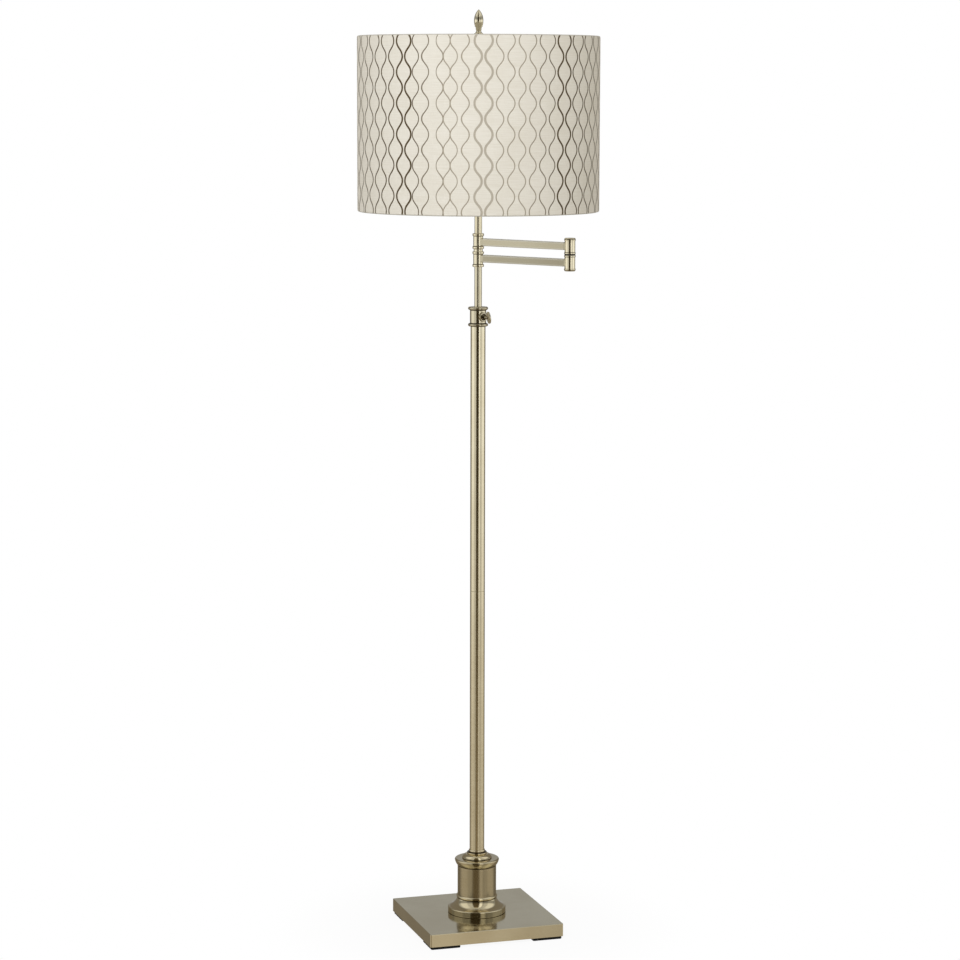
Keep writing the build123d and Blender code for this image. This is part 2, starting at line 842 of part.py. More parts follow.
swing_cap_rise = spool_gap - swing_gap
elbow_cap_radius = spool_flange_radius - cap_inset
make_cap("swing_cap", pole_axis, lower_spool_top, -1, swing_cap_radius, swing_cap_rise, swing_cap_round)
make_cap("elbow_bottom_cap", elbow_axis, lower_elbow_low, 1, elbow_cap_radius, cap_rise, cap_round)
make_cap("elbow_top_cap", elbow_axis, upper_elbow_top, -1, elbow_cap_radius, cap_rise, cap_round)

# Stem and the threaded nipple at its top
make_tube("stem", stem_radius, stem_bore, upper_spool_low + stem_seat, stem_top)
make_tube("stem_nipple", nipple_radius, nipple_bore, stem_top - nipple_sunk, saddle_top + nipple_proud)

# Harp saddle: a bent strip on the stem's top
with BuildPart() as harp_saddle:
    with BuildSketch(Plane.XY.offset(stem_top)):
        Rectangle(2 * saddle_half_width, saddle_strip)
        Circle(saddle_hub_radius)
        Circle(nipple_hole, mode=Mode.SUBTRACT)
    extrude(amount=saddle_thickness)
    for side in (-1, 1):
        with BuildSketch(Plane.XY.offset(saddle_top)):
            with Locations((side * (saddle_half_width - saddle_thickness / 2), 0)):
                Rectangle(saddle_thickness, saddle_strip)
        extrude(amount=saddle_rise)
save(harp_saddle, "harp_saddle")

# Harp: one bent wire with flattened feet, a boss and a threaded stud
foot_inner = saddle_half_width + play
foot_middle = foot_inner + harp_wire / 2
foot_low = saddle_top + harp_foot_lift
strip_top = saddle_top + saddle_rise
wire_low = strip_top + clear
wire_top = harp_top - harp_boss_height / 2
half_path = [
    (foot_middle, wire_low),
    (foot_middle, saddle_top + harp_straight),
    (harp_half_width, saddle_top + harp_belly_low),
    (harp_half_width, saddle_top + harp_belly_high),
    (harp_shoulder, wire_top),
]
half_bends = [harp_bend_foot, harp_bend_belly, harp_bend_belly, harp_bend_top]
mirrored_path = [(-across, height) for across, height in reversed(half_path)]
with BuildPart() as harp:
    with BuildLine(Plane.XZ):
        FilletPolyline(*half_path, *mirrored_path, radius=half_bends + half_bends[::-1])
    with BuildSketch(Plane.XY.offset(wire_low)):
        with Locations((foot_middle, 0)):
            Circle(harp_wire)
    sweep()
    for side in (-1, 1):
        with BuildSketch(Plane.XY.offset(foot_low)):
            with Locations((side * foot_middle, 0)):
                Rectangle(harp_wire, harp_foot_width)
        extrude(amount=strip_top + harp_tang - foot_low)
    with BuildSketch(Plane.XY.offset(harp_top)):
        Circle(harp_boss_radius)
    extrude(amount=-harp_boss_height)
    with BuildSketch(Plane.XY.offset(harp_top)):
        Circle(stud_radius)
    extrude(amount=stud_height)
save(harp, "harp")

# Sleeves that lock the harp's feet to the saddle
strip_inner = saddle_half_width - saddle_thickness
foot_outer = foot_inner + harp_wire
sleeve_middle = (strip_inner + foot_outer) / 2
sleeve_bore = hypot((foot_outer - strip_inner) / 2, saddle_strip / 2) + clear
sleeve_low = saddle_top + clear
for side, sign in (("left", -1), ("right", 1)):
    make_tube(
        f"harp_sleeve_{side}",
        sleeve_bore + sleeve_wall,
        sleeve_bore,
        sleeve_low,
        sleeve_low + sleeve_height,
        (sign * sleeve_middle, 0),
    )

# Socket: cap on the saddle
with BuildPart() as socket_cap:
    with BuildSketch(Plane.XZ):
        with BuildLine():
            cap_curve_top = saddle_top + socket_cap_curve
            cap_top = saddle_top + socket_cap_height
            cap_floor_top = saddle_top + socket_cap_wall
            cap_bore = socket_cap_radius - socket_cap_wall
            SagittaArc(
                (socket_cap_floor_radius, saddle_top), (socket_cap_radius, cap_curve_top), socket_cap_bulge
            )
            Polyline(
                (socket_cap_radius, cap_curve_top),
                (socket_cap_radius, cap_top),
                (cap_bore, cap_top),
                (cap_bore, cap_curve_top),
            )
            SagittaArc(
                (cap_bore, cap_curve_top), (socket_cap_floor_radius, cap_floor_top), -socket_cap_bulge
            )
            Polyline(
                (socket_cap_floor_radius, cap_floor_top),
                (nipple_hole, cap_floor_top),
                (nipple_hole, saddle_top),
                (socket_cap_floor_radius, saddle_top),
            )
        make_face()
    revolve(axis=Axis.Z)
save(socket_cap, "socket_cap")

# Socket: shell, liner and body, with a side hole for the turn knob
knob_axis = Plane(origin=(0, 0, socket_shell_low + knob_lift), x_dir=(1, 0, 0), z_dir=knob_out)
knob_start = socket_shell_radius + knob_gap


def make_socket_wall(name, radius, bore, low, high, side_hole):
    with BuildPart() as wall:
        with BuildSketch(Plane.XY.offset(low)):
            Circle(radius)
            Circle(bore, mode=Mode.SUBTRACT)
        extrude(amount=high - low)
        with BuildSketch(knob_axis):
            Circle(side_hole)
        extrude(amount=knob_start, mode=Mode.SUBTRACT)
    save(wall, name)


make_socket_wall(
    "socket_shell",
    socket_shell_radius,
    socket_shell_radius - socket_shell_wall,
    socket_shell_low,
    socket_shell_top,
    knob_shaft_radius + clear,
)
make_socket_wall(
    "socket_liner",
    socket_liner_radius,
    socket_liner_radius - socket_liner_wall,
    socket_shell_low,
    socket_shell_top + socket_liner_proud,
    knob_shaft_radius + clear,
)
make_socket_wall(
    "socket_body",
    socket_body_radius,
    nipple_bore,
    socket_shell_low,
    socket_body_top,
    knob_shaft_radius + slip,
)
make_tube(
    "screw_shell",
    screw_shell_bore + screw_shell_wall,
    screw_shell_bore,
    socket_body_top,
    socket_body_top + screw_shell_height,
)

# Turn knob of the switch, with its shaft
with BuildPart() as switch_knob:
    with BuildSketch(knob_axis.offset(knob_start)):
        Circle(knob_radius)
    extrude(amount=knob_length)
    fillet(switch_knob.edges(), knob_round)
    with BuildSketch(knob_axis.offset(knob_start)):
        Circle(knob_shaft_radius)
    extrude(amount=-(knob_gap + knob_shaft_sunk))
save(switch_knob, "switch_knob")

# Bulb: metal cap with a centre contact
bulb_low = socket_body_top + clear
bulb_cap_low = bulb_low + bulb_contact_height
bulb_cap_top = bulb_cap_low + bulb_cap_height
with BuildPart() as bulb_cap:
    with BuildSketch(Plane.XZ):
        with BuildLine():
            Polyline(
                (0, bulb_low),
                (bulb_contact_radius, bulb_low),
                (bulb_cap_radius, bulb_cap_low),
                (bulb_cap_radius, bulb_cap_top),
                (0, bulb_cap_top),
                close=True,
            )
        make_face()
    revolve(axis=Axis.Z)
save(bulb_cap, "bulb_cap")

# Bulb: blown glass, a ball that narrows to the neck
bulb_centre = bulb_cap_top + bulb_height - bulb_radius
waist_turn = radians(bulb_waist_angle)
with BuildPart() as bulb_glass:
    for inset, mode in ((0, Mode.ADD), (bulb_wall, Mode.SUBTRACT)):
        ball = bulb_radius - inset
        waist = (ball * cos(waist_turn), bulb_centre - ball * sin(waist_turn))
        neck = (bulb_cap_radius - inset, bulb_cap_top)
        with BuildSketch(Plane.XZ):
            with BuildLine():
                CenterArc((0, bulb_centre), ball, -bulb_waist_angle, 90 + bulb_waist_angle)
                TangentArc(waist, neck, tangent=(-sin(waist_turn), -cos(waist_turn)))
                Polyline(neck, (0, bulb_cap_top), (0, bulb_centre + ball))
            make_face()
        revolve(axis=Axis.Z, mode=mode)
save(bulb_glass, "bulb_glass")

# Shade: drum of fabric on a stiff liner
make_tube("shade_fabric", shade_radius, fabric_bore, shade_low, shade_top)
make_tube(
    "shade_liner", liner_radius, liner_bore, shade_low + liner_inset, shade_top - liner_inset
)

# Shade: spider, the top ring carried by spokes from a hub on the harp
top_ring_height = shade_top - shade_hem - shade_wire
bottom_ring_height = shade_low + shade_hem + shade_wire
spoke_start = Vector(spider_hub_radius - spoke_wire, 0, (hub_low + hub_top) / 2)
spoke_end = Vector(shade_ring_radius, 0, top_ring_height)
with BuildPart() as shade_spider:
    with BuildSketch(Plane.XZ):
        with Locations((shade_ring_radius, top_ring_height)):
            Circle(shade_wire)
    revolve(axis=Axis.Z)
    for turn in range(spoke_count):
        heading = spoke_heading + 360 / spoke_count * turn
        spoke_root = spoke_start.rotate(Axis.Z, heading)
        spoke = (spoke_end - spoke_start).rotate(Axis.Z, heading)
        with BuildSketch(Plane(origin=spoke_root, z_dir=spoke)):
            Circle(spoke_wire)
        extrude(amount=spoke.length)
    with BuildSketch(Plane.XY.offset(hub_low)):
        Circle(spider_hub_radius)
    extrude(amount=spider_hub_thickness)
    with BuildSketch(Plane.XY.offset(hub_low)):
        Circle(stud_radius + clear)
    extrude(amount=spider_hub_thickness, mode=Mode.SUBTRACT)
save(shade_spider, "shade_spider")

with BuildPart() as shade_bottom_ring:
    with BuildSketch(Plane.XZ):
        with Locations((shade_ring_radius, bottom_ring_height)):
            Circle(shade_wire)
    revolve(axis=Axis.Z)
save(shade_bottom_ring, "shade_bottom_ring")

# Finial: base, waisted neck and a pointed bud, screwed on the harp's stud
base_top = finial_low + finial_base_height
neck_top = finial_low + finial_neck_height
groove = finial_low + finial_groove_height
belly = finial_low + finial_belly_height
tip = finial_low + finial_height
with BuildPart() as finial:
    with BuildSketch(Plane.XZ):
        with BuildLine():
            Polyline(
                (finial_tip_radius, tip),
                (0, tip),
                (0, finial_low + finial_bore_depth),
                (stud_radius + slip, finial_low + finial_bore_depth),
                (stud_radius + slip, finial_low),
                (finial_base_radius, finial_low),
                (finial_base_radius, base_top),
            )
            SagittaArc((finial_base_radius, base_top), (finial_neck_radius, neck_top), finial_neck_sag)
            Polyline(
                (finial_neck_radius, neck_top),
                (finial_step_radius, groove),
                (finial_groove_radius, groove),
            )
            TangentArc((finial_belly_radius, belly), (finial_groove_radius, groove), tangent=(0, -1))
            TangentArc((finial_belly_radius, belly), (finial_tip_radius, tip), tangent=(0, 1))
        make_face()
    revolve(axis=Axis.Z)
save(finial, "finial")
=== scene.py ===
import json
from math import cos, pi, radians, sin

import bpy
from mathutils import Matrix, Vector


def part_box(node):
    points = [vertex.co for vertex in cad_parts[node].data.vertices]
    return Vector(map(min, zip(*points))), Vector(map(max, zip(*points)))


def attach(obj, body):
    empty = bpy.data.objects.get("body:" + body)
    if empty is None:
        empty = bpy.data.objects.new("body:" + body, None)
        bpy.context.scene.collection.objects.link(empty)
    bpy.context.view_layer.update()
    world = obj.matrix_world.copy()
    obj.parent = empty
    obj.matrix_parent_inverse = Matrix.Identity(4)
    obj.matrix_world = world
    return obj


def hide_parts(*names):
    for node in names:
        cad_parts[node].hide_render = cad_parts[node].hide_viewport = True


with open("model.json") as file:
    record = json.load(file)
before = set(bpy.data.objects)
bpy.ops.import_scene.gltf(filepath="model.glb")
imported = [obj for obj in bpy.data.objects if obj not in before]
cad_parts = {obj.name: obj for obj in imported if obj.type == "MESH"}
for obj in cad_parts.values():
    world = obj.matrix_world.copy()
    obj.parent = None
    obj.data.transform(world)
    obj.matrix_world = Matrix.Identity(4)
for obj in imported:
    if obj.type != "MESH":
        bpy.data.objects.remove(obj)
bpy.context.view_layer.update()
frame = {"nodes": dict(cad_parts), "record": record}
nodes = frame["nodes"]
pureWhite = (1.0, 1.0, 1.0, 1.0)
print("frame loaded:", len(nodes), "pieces")


class Signal:
    # one value inside a shader, so that its maths reads as plain sums

    def __init__(self, desk, socket):
        self.desk = desk
        self.socket = socket

    def run(self, operation, *others):
        return self.desk.add("Math", dict(enumerate((self, *others))), operation=operation)

    def __add__(self, other):
        return self.run("ADD", other)

    def __radd__(self, other):
        return self.run("ADD", other)

    def __sub__(self, other):
        return self.run("SUBTRACT", other)

    def __rsub__(self, other):
        return self.desk.add("Math", {0: other, 1: self}, operation="SUBTRACT")

    def __mul__(self, other):
        return self.run("MULTIPLY", other)

    def __rmul__(self, other):
        return self.run("MULTIPLY", other)

    def __truediv__(self, other):
        return self.run("DIVIDE", other)

    def __rtruediv__(self, other):
        return self.desk.add("Math", {0: other, 1: self}, operation="DIVIDE")

    def __lt__(self, other):
        return self.run("LESS_THAN", other)

    def __gt__(self, other):
        return self.run("GREATER_THAN", other)

    def __mod__(self, other):
        return self.run("FLOORED_MODULO", other)

    def __abs__(self):
        return self.run("ABSOLUTE")


class Desk:
    # where the nodes of one finish are laid out

    def __init__(self, tree):
        self.tree = tree

    def plug(self, socket, value):
        if isinstance(value, Signal):
            self.tree.links.new(value.socket, socket)
        else:
            socket.default_value = value

    def add(self, kind, inputs=None, output=0, stops=None, **settings):
        node = self.tree.nodes.new("ShaderNode" + kind)
        for name, value in settings.items():
            setattr(node, name, value)
        if stops:
            elements = node.color_ramp.elements
            while len(elements) < len(stops):
                elements.new(1.0)
            for element, (place, level) in zip(elements, stops):
                element.position = place
                element.color = (level, level, level, 1.0)
        for key, value in (inputs or {}).items():
            self.plug(node.inputs[key], value)
        return Signal(self, node.outputs[output])

    def mix(self, share, first, second):
        # a Mix node's sockets share their names, so those for colours go by number
        return self.add("Mix", {0: share, 6: first, 7: second}, 2, data_type="RGBA")

    def split(self, vector):
        parts = self.add("SeparateXYZ", {0: vector})
        return [Signal(self, socket) for socket in parts.socket.node.outputs]

    def join(self, *values):
        return self.add("CombineXYZ", dict(enumerate(values)))

    def noise(self, vector, scale=1.0, detail=2.0, roughness=0.5):
        sockets = {"Vector": vector, "Scale": scale, "Detail": detail, "Roughness": roughness}
        return self.add("TexNoise", sockets)

    def soften(self, value, low, high):
        # 0 below low, 1 above high, an even ease between
        spread = {"Value": value, "From Min": low, "From Max": high}
        return self.add("MapRange", spread, interpolation_type="SMOOTHSTEP")

    def place(self, centre=(0.0, 0.0, 0.0)):
        spots = self.split(self.add("TexCoord", output="Object"))
        return [spot - middle if middle else spot for spot, middle in zip(spots, centre)]


def newFinish(name, **sockets):
    material = bpy.data.materials.new(name)
    material.use_nodes = True
    shader = material.node_tree.nodes["Principled BSDF"]
    for socket, value in sockets.items():
        shader.inputs[socket.replace("_", " ")].default_value = value
    return material, Desk(material.node_tree), shader.inputs


def deselect():
    bpy.ops.object.select_all(action="DESELECT")


def openEdit():
    bpy.ops.object.mode_set(mode="EDIT")
    bpy.ops.mesh.select_all(action="SELECT")


def closeEdit():
    # every face is turned outwards first
    bpy.ops.mesh.select_all(action="SELECT")
    bpy.ops.mesh.normals_make_consistent(inside=False)
    bpy.ops.object.mode_set(mode="OBJECT")


# Camera
camera = {
    "distance": 4.95,  # from the pole, along the floor
    "height": 1.447,
    "heading": -17.3,  # degrees round the pole from square in front
    "tilt": 7.65,  # degrees below level
    "pan": 0.045,  # degrees to the right
    "roll": 0.13,  # degrees
    "lens": 109.97,
    "farthest": 200.0,  # that it sees
}
headingTurn = radians(camera["heading"])
toCamera = Vector((sin(headingTurn), -cos(headingTurn), 0))
toRight = Vector((cos(headingTurn), sin(headingTurn), 0))
deselect()
bpy.ops.object.camera_add(
    location=toCamera * camera["distance"] + Vector((0, 0, camera["height"])),
    rotation=(radians(90 - camera["tilt"]), 0, radians(camera["heading"] - camera["pan"])),
)
eye = bpy.context.object
eye.rotation_euler.rotate_axis("Z", radians(camera["roll"]))
eye.data.lens = camera["lens"]
eye.data.clip_end = camera["farthest"]
bpy.context.scene.camera = eye
bpy.context.scene.view_settings.view_transform = "Standard"
print("camera set")


# Studio: white all round for the eye, soft bands of light and shade for the metal to mirror
studio = {
    "ambient": 0.56,  # light on cloth and plastic from all round
    "ambientTint": (1.0, 0.965, 0.885, 1.0),
    "bands": [  # degrees round from the camera, + to its right, and how bright
        (-180, 0.34), (-174, 0.34), (-166, 0.2), (-122, 0.2), (-98, 1.0), (-63, 1.0),
        (-55, 0.68), (-28, 0.68), (-23, 0.02), (13.5, 0.02), (17.5, 1.3), (30, 1.3),
        (33, 0.9), (35.4, 0.86), (36.8, 0.5), (41, 0.5), (46, 0.68), (64, 0.68),
        (72, 1.0), (106, 1.0), (122, 0.2), (166, 0.2), (174, 0.34), (180, 0.34),
    ],
    "bandGain": 1.15,
    "heights": [  # height on the unit sphere, how bright the bands are there, their least and most
        (-1.0, 0.35, 0.1, 1.0), (-0.4, 0.45, 0.2, 1.0), (-0.33, 0.6, 0.3, 0.8),
        (-0.285, 0.84, 0.18, 0.88), (-0.266, 0.48, 0.66, 0.68), (-0.247, 0.5, 0.52, 0.7),
        (-0.21, 0.66, 0.18, 0.85), (-0.165, 0.82, 0.05, 1.0), (-0.09, 1.0, 0.0, 1.3),
        (0.05, 1.0, 0.0, 1.3), (0.15, 0.3, 0.12, 1.3), (0.35, 0.3, 0.12, 1.3),
        (0.5, 0.8, 0.12, 1.3), (0.9, 0.8, 0.12, 1.3), (1.0, 0.5, 0.12, 1.3),
    ],
    "back": (110, 124),  # degrees round from the camera where the heights stop changing the bands
    "ceiling": (0.85, 1.0),  # height over which the bands turn into the ceiling
    "ceilingLevel": 0.55,
    "paleFrom": (0.0, 0.3),  # how bright a band is where it turns from a dark one to a pale one
    "darkTint": (1.0, 0.66, 0.16, 1.0),  # of the dark bands, as of other brass
    "warmth": (-0.25, -0.12),  # height over which the light from below turns from warm to white
    "warm": (1.0, 0.89, 0.73, 1.0),  # tint of the pale bands down there
    "warmDark": (1.0, 0.78, 0.48, 1.0),  # and of the dark ones
}
world = bpy.data.worlds.new("studio")
bpy.context.scene.world = world
world.use_nodes = True
desk = Desk(world.node_tree)
acrossX, acrossY, upward = desk.split(desk.add("TexCoord", output="Generated"))
ahead = acrossX * toCamera.x + acrossY * toCamera.y
aside = acrossX * toRight.x + acrossY * toRight.y
around = aside.run("ARCTAN2", ahead) / (2 * pi) + 0.5
bandStops = [(turn / 360 + 0.5, level) for turn, level in studio["bands"]]
bands = desk.add("ValToRGB", {0: around}, stops=bandStops)
climb = upward * 0.5 + 0.5
heights, *limits = zip(*studio["heights"])
climbStops = [height / 2 + 0.5 for height in heights]
gain, least, most = (
    desk.add("ValToRGB", {0: climb}, stops=list(zip(climbStops, levels))) for levels in limits
)
lifted = bands.run("MAXIMUM", least)
front = lifted.run("MINIMUM", most) * gain
backShare = desk.soften(abs(around - 0.5) * 360, *studio["back"])
ceilingShare = desk.soften(upward, *studio["ceiling"])
walls = (front * (1 - backShare) + bands * backShare) * studio["bandGain"]
mirrored = walls * (1 - ceilingShare) + ceilingShare * studio["ceilingLevel"]
lightPath = desk.add("LightPath")
rays = {socket.name: Signal(desk, socket) for socket in lightPath.socket.node.outputs}
plain = rays["Is Camera Ray"].run("MAXIMUM", rays["Is Transmission Ray"])
glossy = rays["Is Glossy Ray"]
brightness = plain + (1 - plain) * (glossy * mirrored + (1 - glossy) * studio["ambient"])
whiteness = desk.soften(lifted, *studio["paleFrom"]).run("MAXIMUM", ceilingShare)
bandTint = desk.mix(whiteness, studio["darkTint"], pureWhite)
mattTint = desk.mix(plain, studio["ambientTint"], pureWhite)
levelTint = desk.mix(glossy, mattTint, bandTint)
warmTint = desk.mix(desk.soften(bands, *studio["paleFrom"]), studio["warmDark"], studio["warm"])
warmShare = (1 - desk.soften(upward, *studio["warmth"])) * glossy
background = world.node_tree.nodes["Background"].inputs
desk.plug(background["Color"], desk.mix(warmShare, levelTint, warmTint))
desk.plug(background["Strength"], brightness)
print("studio set")


# Lamps
lamps = {
    "key": {
        "turn": -15, "rise": 28, "distance": 4.5, "aim": 1.2,  # aimed at this height on the pole
        "size": 2.2, "power": 96, "tint": (0.95, 1.0, 1.09),
    },
    "fill": {
        "turn": 55, "rise": 30, "distance": 5.0, "aim": 1.2,
        "size": 3.0, "power": 4, "tint": (1.0, 0.98, 0.93),
    },
}
for name, lamp in lamps.items():
    turn = radians(camera["heading"] + lamp["turn"])
    rise = radians(lamp["rise"])
    offset = Vector((sin(turn) * cos(rise), -cos(turn) * cos(rise), sin(rise))) * lamp["distance"]
    bpy.ops.object.light_add(type="AREA", location=Vector((0, 0, lamp["aim"])) + offset)
    light = bpy.context.object
    light.name = name
    light.rotation_euler = (-offset).to_track_quat("-Z", "Y").to_euler()
    light.data.size = lamp["size"]
    light.data.energy = lamp["power"]
    light.data.color = lamp["tint"]
    light.visible_glossy = False
print("lamps set")


# Floor: pale, with a soft shadow near the foot that fades to white
floorSpec = {"size": 60.0, "pale": (0.9, 0.9, 0.9, 1.0), "shadowShare": 0.07, "fade": (0.16, 0.4)}
deselect()
bpy.ops.mesh.primitive_plane_add(size=floorSpec["size"])
floor = bpy.context.object
floor.name = "floor"
floorMaterial = bpy.data.materials.new("paleFloor")
floorMaterial.use_nodes = True
desk = Desk(floorMaterial.node_tree)
floorX, floorY, _ = desk.place()
reach = (floorX * floorX + floorY * floorY).run("SQRT")
faded = desk.soften(reach, *floorSpec["fade"])
whiteShare = faded * floorSpec["shadowShare"] + (1 - floorSpec["shadowShare"])
cameraRay = desk.add("LightPath", output="Is Camera Ray")
matte = desk.add("BsdfDiffuse", {"Color": floorSpec["pale"]})
white = desk.add("Emission", {"Color": pureWhite})
pale = desk.add("MixShader", {0: cameraRay * whiteShare, 1: matte, 2: white})
desk.plug(floorMaterial.node_tree.nodes["Material Output"].inputs["Surface"], pale)
floor.data.materials.append(floorMaterial)
floor.visible_glossy = False
print("floor set")


# Brass: antique, fine brushed, under a thin clear lacquer
brass = {
    "colour": (0.82, 0.755, 0.555),
    "patina": (0.72, 0.645, 0.45),
    "roughness": 0.17,
    "lacquer": 0.12,
    "lacquerRoughness": 0.12,
    "tarnish": (0.055, 0.035, 0.012, 1.0),  # tarnish and painted shade, dark in the grooves and in the thumb screw's dish
    "tarnishAndShadeRoughness": 0.2,  # that it adds
    "worn": (1.0, 0.98, 0.86, 1.0),  # painted highlight colour
    "pedestalTint": (1.0, 0.96, 0.88),
    "cloudScale": 14.0,  # of the patina
    "cloudShare": 0.7,  # of the patina that lies in clouds, not along the brush marks
    "cloudSpread": (0.3, 0.7),
    "streak": (0.03, 0.0007),  # length and width of a brush mark
    "streakRoughness": 0.06,
    "streakDepth": 0.00003,
    "relief": 0.08,
}


def brushedBrass(
    name, ways, roughness=brass["roughness"], relief=brass["relief"], shade=1.0, streak=brass["streak"],
    dark=None, worn=None, cast=(1.0, 1.0, 1.0),
):
    # ways lays out the brushing: how far along it, across it and into the metal a point is
    # dark says how far a point takes tarnish and painted shade, the painted highlight how far it is painted
    # pale; shade and cast dim and tint it all
    lacquer = {"Coat_Weight": brass["lacquer"], "Coat_Roughness": brass["lacquerRoughness"]}
    material, desk, shader = newFinish(name, Metallic=1.0, **lacquer)
    colour, patina = (
        [*(part * shade * share for part, share in zip(brass[tone], cast)), 1.0]
        for tone in ("colour", "patina")
    )
    along, across, deep = ways(desk)
    streakLength, streakWidth = streak
    drawn = desk.join(along / streakLength, across / streakWidth, deep / streakWidth)
    streaks = desk.noise(drawn, detail=3.0, roughness=0.6)
    clouds = desk.noise(desk.join(*desk.place()), brass["cloudScale"], detail=3.0)
    blotches = clouds * brass["cloudShare"] + streaks * (1 - brass["cloudShare"])
    bright = desk.mix(desk.soften(blotches, *brass["cloudSpread"]), patina, colour)
    rough = roughness + (streaks - 0.5) * brass["streakRoughness"]
    # painted highlight, pale along the arms' edges
    if worn:
        bright = desk.mix(worn(desk), bright, brass["worn"])
    # dark mixes in tarnish and painted shade, in grooves and hollows
    if dark:
        tarnish = dark(desk)
        bright = desk.mix(tarnish, bright, brass["tarnish"])
        rough = rough + tarnish * brass["tarnishAndShadeRoughness"]
    desk.plug(shader["Base Color"], bright)
    desk.plug(shader["Roughness"], rough)
    bump = desk.add("Bump", {"Height": streaks, "Strength": relief, "Distance": brass["streakDepth"]})
    desk.plug(shader["Normal"], bump)
    return material


def turnedWays(centre):
    # brushed round an upright axis, as on a lathe
    def ways(desk):
        x, y, z = desk.place(centre)
        radius = (x * x + y * y).run("SQRT")
        return x.run("ARCTAN2", y) * radius, radius, z
    return ways


# Base plate: brushed from side to side, and along each edge
plate = {"sideFrom": 0.7}  # how far a face is turned to the left or right to count as a side


def plateWays(desk):
    x, y, z = desk.place()
    sideways, _, _ = desk.split(desk.add("NewGeometry", output="True Normal"))
    onSide = abs(sideways) > plate["sideFrom"]
    return x * (1 - onSide) + y * onSide, y * (1 - onSide), z


# Grooves: tarnish and painted shade where turned pieces step or meet
grooves = {
    "core": 0.3,  # share of a groove's reach that is fully dark
    "footBead": 0.026,  # up the pedestal's foot to the groove under its bead
    "spoolBead": 0.0046,  # height of the bead at each end of an arm collar
    "elbowBead": 0.0026,
    "collarBead": 0.0053,
    "footReach": 0.0012,
    "barrelReach": 0.0014,
    "domeReach": 0.001,
    "spoolReach": 0.0007,
    "elbowReach": 0.0007,
    "collarReach": 0.0014,
}
lowOf = {name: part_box(name)[0].z for name in nodes}
highOf = {name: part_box(name)[1].z for name in nodes}


def nearHeights(reach, *heights):
    def share(desk):
        height = desk.place()[2]
        nearest = abs(height - heights[0])
        for groove in heights[1:]:
            nearest = nearest.run("MINIMUM", abs(height - groove))
        return 1 - desk.soften(nearest, reach * grooves["core"], reach)
    return share


# painted shade and tarnish where the foot stands on the plate and under its bead
footGrooves = nearHeights(
    grooves["footReach"],
    lowOf["pedestal_foot"],
    lowOf["pedestal_foot"] + grooves["footBead"],
)
barrelGrooves = nearHeights(grooves["barrelReach"], highOf["pedestal_barrel"])
domeGrooves = nearHeights(grooves["domeReach"], lowOf["pedestal_dome"], lowOf["pole_ring"])
spoolGrooves = nearHeights(
    grooves["spoolReach"],
    lowOf["lower_arm_collar"] + grooves["spoolBead"],
    highOf["lower_arm_collar"] - grooves["spoolBead"],
    lowOf["upper_arm_collar"] + grooves["spoolBead"],
    highOf["upper_arm_collar"] - grooves["spoolBead"],
)
elbowGrooves = nearHeights(
    grooves["elbowReach"],
    lowOf["lower_elbow"],
    highOf["lower_elbow"] - grooves["elbowBead"],
    lowOf["upper_elbow"] + grooves["elbowBead"],
    highOf["upper_elbow"],
)
collarGrooves = nearHeights(
    grooves["collarReach"],
    highOf["upper_pole"],
    highOf["upper_pole"] + grooves["collarBead"],
    highOf["height_collar"] - grooves["collarBead"],
)


# Thumb screw: painted shade inside its dish
screw = {
    "joint": "thumb_screw_turn",
    "dish": 0.0056,  # its radius
    "neck": 0.0029,  # radius of the neck that stands in it
    "face": 0.0172,  # from the pole's axis out to the rim of the dish
    "edge": 0.0003,
}
joints = {joint["name"]: joint for joint in frame["record"]["behaviour"]["joints"]}
screwTurn = joints[screw["joint"]]


def paintedDishShade(desk):
    x, y, z = desk.place(screwTurn["pos_m"])
    outX, outY, _ = screwTurn["axis"]
    out = x * outX + y * outY
    spread = (x * x + y * y + z * z - out * out).run("MAXIMUM", 0.0).run("SQRT")
    hollow = desk.soften(spread, screw["neck"], screw["neck"] + screw["edge"])
    rim = 1 - desk.soften(spread, screw["dish"], screw["dish"] + screw["edge"])
    return hollow * rim * (out < screw["face"])


# Arms: brushed along, with a painted highlight along their top and bottom edges
armSpec = {
    "side": 0.0127,
    "length": 0.1585,
    "fall": 0.005,  # over that length
    "edge": 0.0032,  # height of the painted highlight strip along the top and the bottom
    "rub": 0.9,
}
elbowLow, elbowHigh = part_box("elbow_pin")
elbowMiddle = (elbowLow + elbowHigh) / 2
armTurn = elbowMiddle.xy.angle_signed(Vector((1, 0)))


def armWays(desk):
    x, y, z = desk.place()
    return x * cos(armTurn) + y * sin(armTurn), y * cos(armTurn) - x * sin(armTurn), z


def armHighlights(arm):
    low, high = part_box(arm)
    middle = (low + high) / 2

    def share(desk):
        x, y, z = desk.place(middle)
        along = x * cos(armTurn) + y * sin(armTurn)
        rise = z + along * (armSpec["fall"] / armSpec["length"])
        half = armSpec["side"] / 2
        return desk.soften(abs(rise), half - armSpec["edge"], half) * armSpec["rub"]
    return share


